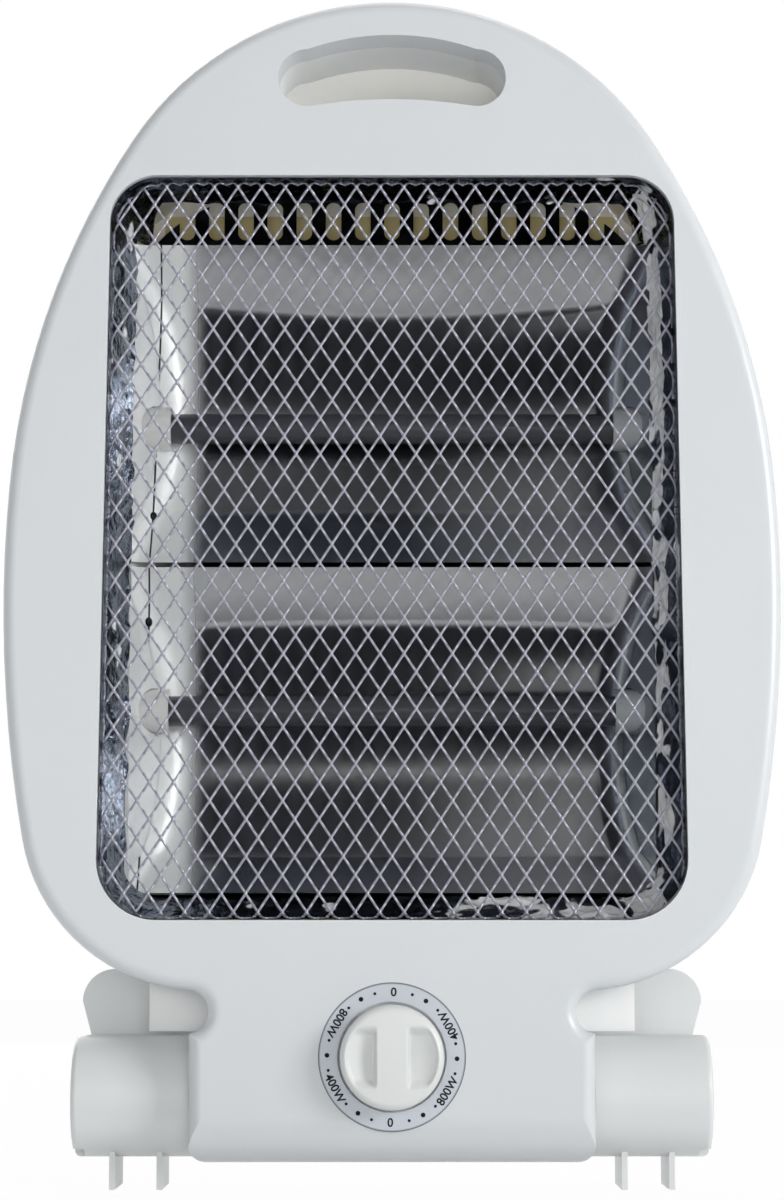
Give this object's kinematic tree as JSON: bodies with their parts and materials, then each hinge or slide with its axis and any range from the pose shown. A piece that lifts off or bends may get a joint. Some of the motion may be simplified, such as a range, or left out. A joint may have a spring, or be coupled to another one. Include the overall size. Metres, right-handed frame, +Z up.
{
  "type": "quartz heater",
  "caption": "Portable quartz heater with an oval moulded panel, finger grip, expanded-metal guard over polished reflectors and quartz tubes, a power dial and fold-out feet.",
  "frame": {"origin": "centre of the bounding box on the floor plane under the feet", "axes": "+Z up, +X to the right as seen from the front, the front faces -Y"},
  "size_m": [0.2604, 0.08, 0.402],
  "materials": {
    "panel_plastic": "moulded white ABS, satin gloss",
    "cover_plastic": "moulded white ABS, fine matt grain",
    "foot_plastic": "moulded white ABS, satin gloss",
    "guard_steel": "plated expanded steel mesh",
    "foil": "crinkled aluminium foil",
    "reflector": "polished aluminium sheet",
    "shield_sheet": "galvanised steel sheet",
    "quartz": "milky quartz glass",
    "element_wire": "resistance wire winding",
    "ceramic": "glazed white ceramic",
    "terminal_brass": "plain brass",
    "dial_silver": "silver-painted plastic ring with black marks",
    "knob_plastic": "moulded white ABS, satin gloss",
    "zinc_steel": "zinc-plated steel",
    "black_plastic": "black moulded plastic",
    "nylon": "natural nylon"
  },
  "bodies": {
    "housing": {"front_panel": "panel_plastic", "rear_cover": "cover_plastic", "guard_rising_strands": "guard_steel", "guard_falling_strands": "guard_steel", "foil_liner": "foil", "heat_shield": "shield_sheet", "reflector_upper": "reflector", "reflector_lower": "reflector", "reflector_end_left": "reflector", "reflector_end_right": "reflector", "quartz_tube_upper": "quartz", "quartz_tube_lower": "quartz", "heating_element_upper": "element_wire", "heating_element_lower": "element_wire", "tube_cap_upper_left": "ceramic", "tube_cap_upper_right": "ceramic", "tube_cap_lower_left": "ceramic", "tube_cap_lower_right": "ceramic", "tube_terminals": "terminal_brass", "dial_ring": "dial_silver", "rotary_switch": "black_plastic", "switch_screws": "zinc_steel", "terminal_block": "nylon", "tip_over_switch": "black_plastic", "cord_inlet": "black_plastic", "left_axle": "nylon", "right_axle": "nylon", "left_washer": "zinc_steel", "right_washer": "zinc_steel", "left_pivot_screw": "zinc_steel", "right_pivot_screw": "zinc_steel", "housing_screws": "zinc_steel", "shield_screws": "zinc_steel", "end_screws": "zinc_steel"},
    "dial": {"knob": "knob_plastic", "switch_shaft": "zinc_steel"},
    "left_leg": {"left_foot": "foot_plastic", "left_foot_lid": "foot_plastic"},
    "right_leg": {"right_foot": "foot_plastic", "right_foot_lid": "foot_plastic"}
  },
  "joints": [
    {"name": "knob_turn", "type": "hinge", "parent": "housing", "child": "dial", "pos_m": [0, -0.03, 0.0444], "axis": [0, 1, 0], "continuous": true},
    {"name": "left_foot_fold", "type": "hinge", "parent": "housing", "child": "left_leg", "pos_m": [0, 0.001, 0.0307], "axis": [-1, 0, 0], "range_deg": [0, 90]},
    {"name": "right_foot_fold", "type": "hinge", "parent": "housing", "child": "right_leg", "pos_m": [0, 0.001, 0.0307], "axis": [-1, 0, 0], "range_deg": [0, 90]}
  ]
}
